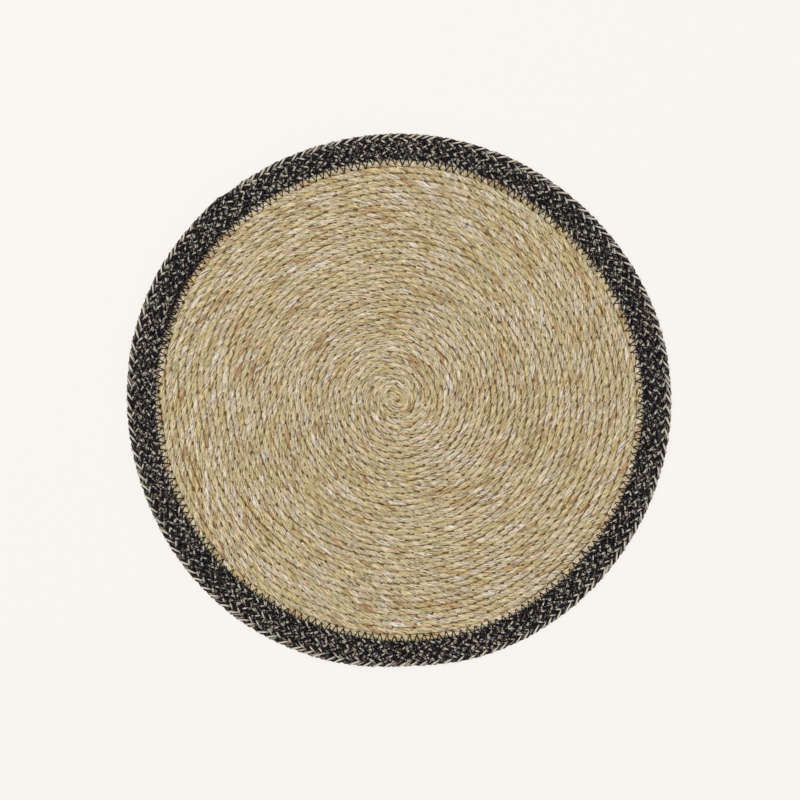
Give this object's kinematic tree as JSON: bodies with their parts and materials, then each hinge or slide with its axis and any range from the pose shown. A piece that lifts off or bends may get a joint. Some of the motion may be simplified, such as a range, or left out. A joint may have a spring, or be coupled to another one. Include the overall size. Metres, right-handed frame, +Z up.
{
  "type": "seagrass placemat",
  "caption": "Round flat table mat of seagrass cord wound and sewn in a flat coil, with a border of plaited black and natural jute wound around it.",
  "frame": {"origin": "middle of the mat's bounding box, on the underside, where it rests on the table", "axes": "+Z up through the mat's thickness; +X and +Y in the plane of the mat"},
  "size_m": [0.3816, 0.3738, 0.005],
  "materials": {
    "seagrass": "twisted two-ply seagrass cord, pale straw with ochre, grey green and silvery straws, dry with a slight sheen",
    "braid": "matt three-strand plait of black and natural jute yarns",
    "thread": "black sewing thread in zigzag rows, slightly shiny"
  },
  "bodies": {
    "root": {"seagrass_centre": "seagrass", "braid_border": "braid"}
  },
  "joints": []
}
